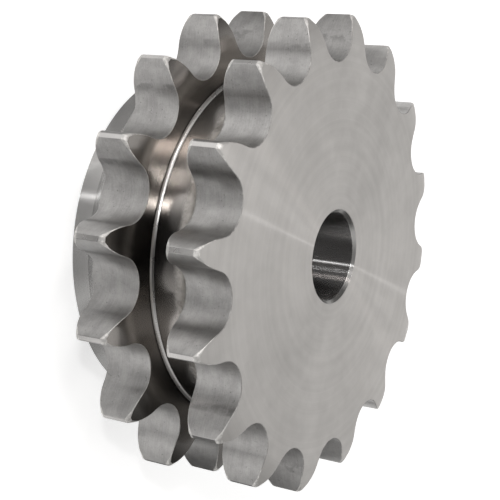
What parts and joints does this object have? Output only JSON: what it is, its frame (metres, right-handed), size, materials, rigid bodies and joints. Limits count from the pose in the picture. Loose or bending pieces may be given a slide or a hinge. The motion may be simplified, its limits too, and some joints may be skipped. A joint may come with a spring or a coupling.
{
  "type": "chain sprocket",
  "caption": "Double-strand roller chain sprocket with a hub on one side and a plain pilot bore, turned and hobbed from one piece of steel.",
  "frame": {"origin": "centre of the bore at the hub's end face, on which the piece stands", "axes": "+Z along the bore axis from the hub's end face to the flat toothed face, +X through the middle of a tooth gap"},
  "size_m": [0.1384, 0.1384, 0.058],
  "materials": {
    "steel": "fine turned faces, hobbed tooth gaps and polished hub and groove, bare and lightly oiled"
  },
  "bodies": {
    "root": {"sprocket": "steel"}
  },
  "joints": []
}
